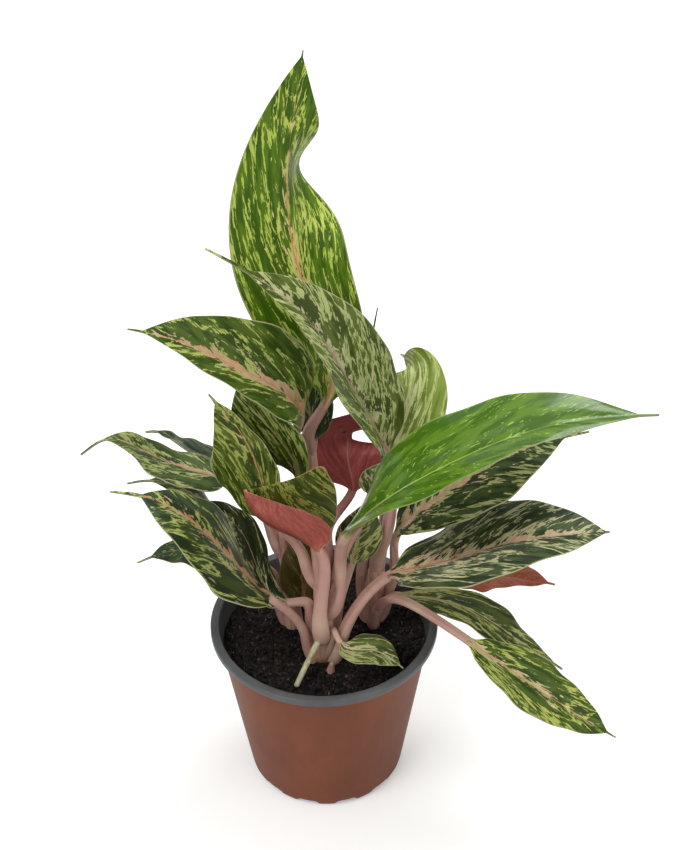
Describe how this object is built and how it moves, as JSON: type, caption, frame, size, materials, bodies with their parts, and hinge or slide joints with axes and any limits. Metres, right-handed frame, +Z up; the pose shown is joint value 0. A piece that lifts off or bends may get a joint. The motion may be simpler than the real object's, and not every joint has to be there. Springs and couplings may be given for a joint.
{
  "type": "potted chinese evergreen",
  "caption": "Potted Chinese evergreen with pink and cream splashed leaves on short canes, in a tapered plastic nursery pot filled with soil.",
  "frame": {"origin": "centre of the flat underside of the pot, on the floor", "axes": "+Z up; -Y is the front seen in the picture; +X is to the right seen from the front"},
  "size_m": [0.3112, 0.1526, 0.4811],
  "materials": {
    "pot_plastic": "terracotta-brown moulded plastic with a dark grey rim and inside",
    "potting_soil": null,
    "pink_cane": null,
    "cut_stalk": null,
    "green_leaf": "fresh green leaf with lime and cream streaks and an orange-pink midrib; satin",
    "dark_leaf": "dark green leaf with cream streaks, a pink-cream midrib and a pale margin; satin",
    "bright_leaf": "bright plain green leaf with fine lime veins; glossy",
    "pale_leaf": "pale green leaf with cream stripes; satin",
    "unfurling_leaf": "half-open young leaf, speckled green and orange inside and rose-red outside; satin",
    "red_leaf_back": "leaf that shows its wine-red underside; satin"
  },
  "bodies": {
    "root": {"nursery_pot": "pot_plastic", "potting_soil": "potting_soil", "tall_cane": "pink_cane", "right_cane": "pink_cane", "left_cane": "pink_cane", "pink_sprout": "pink_cane", "cut_leaf_stalk": "cut_stalk", "crown_leaf": "green_leaf", "arching_leaf": "green_leaf", "upper_left_leaf": "green_leaf", "left_leaf": "dark_leaf", "left_back_leaf": "dark_leaf", "left_upright_leaf": "green_leaf", "middle_streaked_leaf": "green_leaf", "lower_left_leaf": "dark_leaf", "lower_left_back_leaf": "dark_leaf", "dark_left_leaf": "dark_leaf", "low_left_leaf": "dark_leaf", "unfurling_leaf": "unfurling_leaf", "red_backed_rear_leaf": "red_leaf_back", "pale_striped_leaf": "pale_leaf", "glossy_right_leaf": "bright_leaf", "right_back_leaf": "dark_leaf", "front_right_leaf": "dark_leaf", "red_backed_side_leaf": "red_leaf_back", "low_right_leaf": "dark_leaf", "lowest_right_leaf": "dark_leaf", "small_front_leaf": "green_leaf", "olive_shaded_leaf": "dark_leaf", "shaded_middle_leaf": "green_leaf", "hidden_back_leaf": "dark_leaf", "small_spotted_leaf": "green_leaf", "dark_back_leaf": "dark_leaf"}
  },
  "joints": []
}
